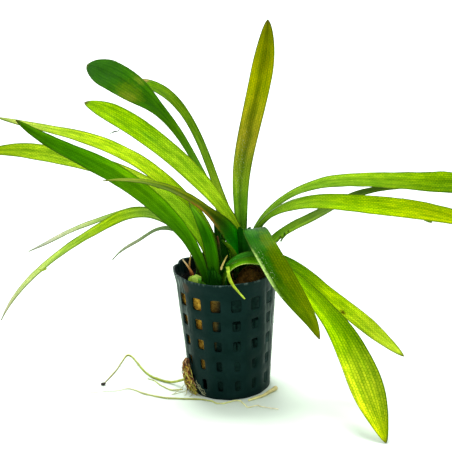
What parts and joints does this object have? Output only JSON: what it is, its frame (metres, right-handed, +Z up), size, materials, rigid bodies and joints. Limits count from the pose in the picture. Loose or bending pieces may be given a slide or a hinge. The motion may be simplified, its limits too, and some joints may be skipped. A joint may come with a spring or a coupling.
{
  "type": "potted aquarium plant",
  "caption": "Potted sagittaria: arching strap leaves on two short crowns, growing from a mineral wool plug in a slotted, tapered net pot with roots trailing out.",
  "frame": {"origin": "centre of the pot's underside, on the surface that the pot stands on", "axes": "+X right and +Y away from the camera as seen in the picture, +Z up along the pot's axis"},
  "size_m": [0.2479, 0.1614, 0.1721],
  "materials": {
    "pot_plastic": "dark teal-black moulded plastic, slightly glossy",
    "rockwool_fibre": "damp orange-brown mineral fibre",
    "crown_tissue": "smooth pale green stem tissue",
    "leaf_bright": "satin yellow-green leaf with fine parallel veins",
    "leaf_fresh": "satin fresh green leaf",
    "leaf_dark": "satin dark green leaf",
    "leaf_olive": "satin olive leaf with brownish midline",
    "leaf_pale": "thin pale grey-green leaf",
    "torn_leaf": "torn yellow-green leaf base",
    "dead_leaf": "reddish-brown dead leaf base",
    "dry_leaf": "dry straw-coloured leaf remains",
    "pale_root": "pale yellow-green fine root",
    "tan_root": "tan root",
    "old_roots": "matted brown old roots",
    "dirt_grain": "dark grain of dirt"
  },
  "bodies": {
    "root": {"brown_sheath": "dead_leaf", "crown_back": "crown_tissue", "crown_front": "crown_tissue", "dry_sliver_left": "dry_leaf", "dry_sliver_right": "dry_leaf", "leaf_behind_paddle": "leaf_fresh", "leaf_broad_right": "leaf_bright", "leaf_dark_left": "leaf_dark", "leaf_drooping_left": "leaf_bright", "leaf_edge_on": "leaf_olive", "leaf_folded": "leaf_olive", "leaf_hidden_right": "leaf_dark", "leaf_long_left": "leaf_bright", "leaf_long_right": "leaf_bright", "leaf_low_left": "leaf_bright", "leaf_paddle": "leaf_dark", "leaf_shaded_right": "leaf_dark", "leaf_short": "leaf_dark", "leaf_thin_left": "leaf_pale", "leaf_thin_short": "leaf_pale", "leaf_top_right": "leaf_bright", "leaf_torn_right": "leaf_bright", "leaf_upright": "leaf_olive", "leaf_wide_left": "leaf_bright", "pot": "pot_plastic", "rockwool": "rockwool_fibre", "root_front": "pale_root", "root_grain": "dirt_grain", "root_long": "pale_root", "root_mat": "old_roots", "root_second": "pale_root", "root_stub": "tan_root", "small_petiole": "leaf_fresh", "straw_sliver": "dry_leaf", "torn_sheath": "torn_leaf"}
  },
  "joints": []
}
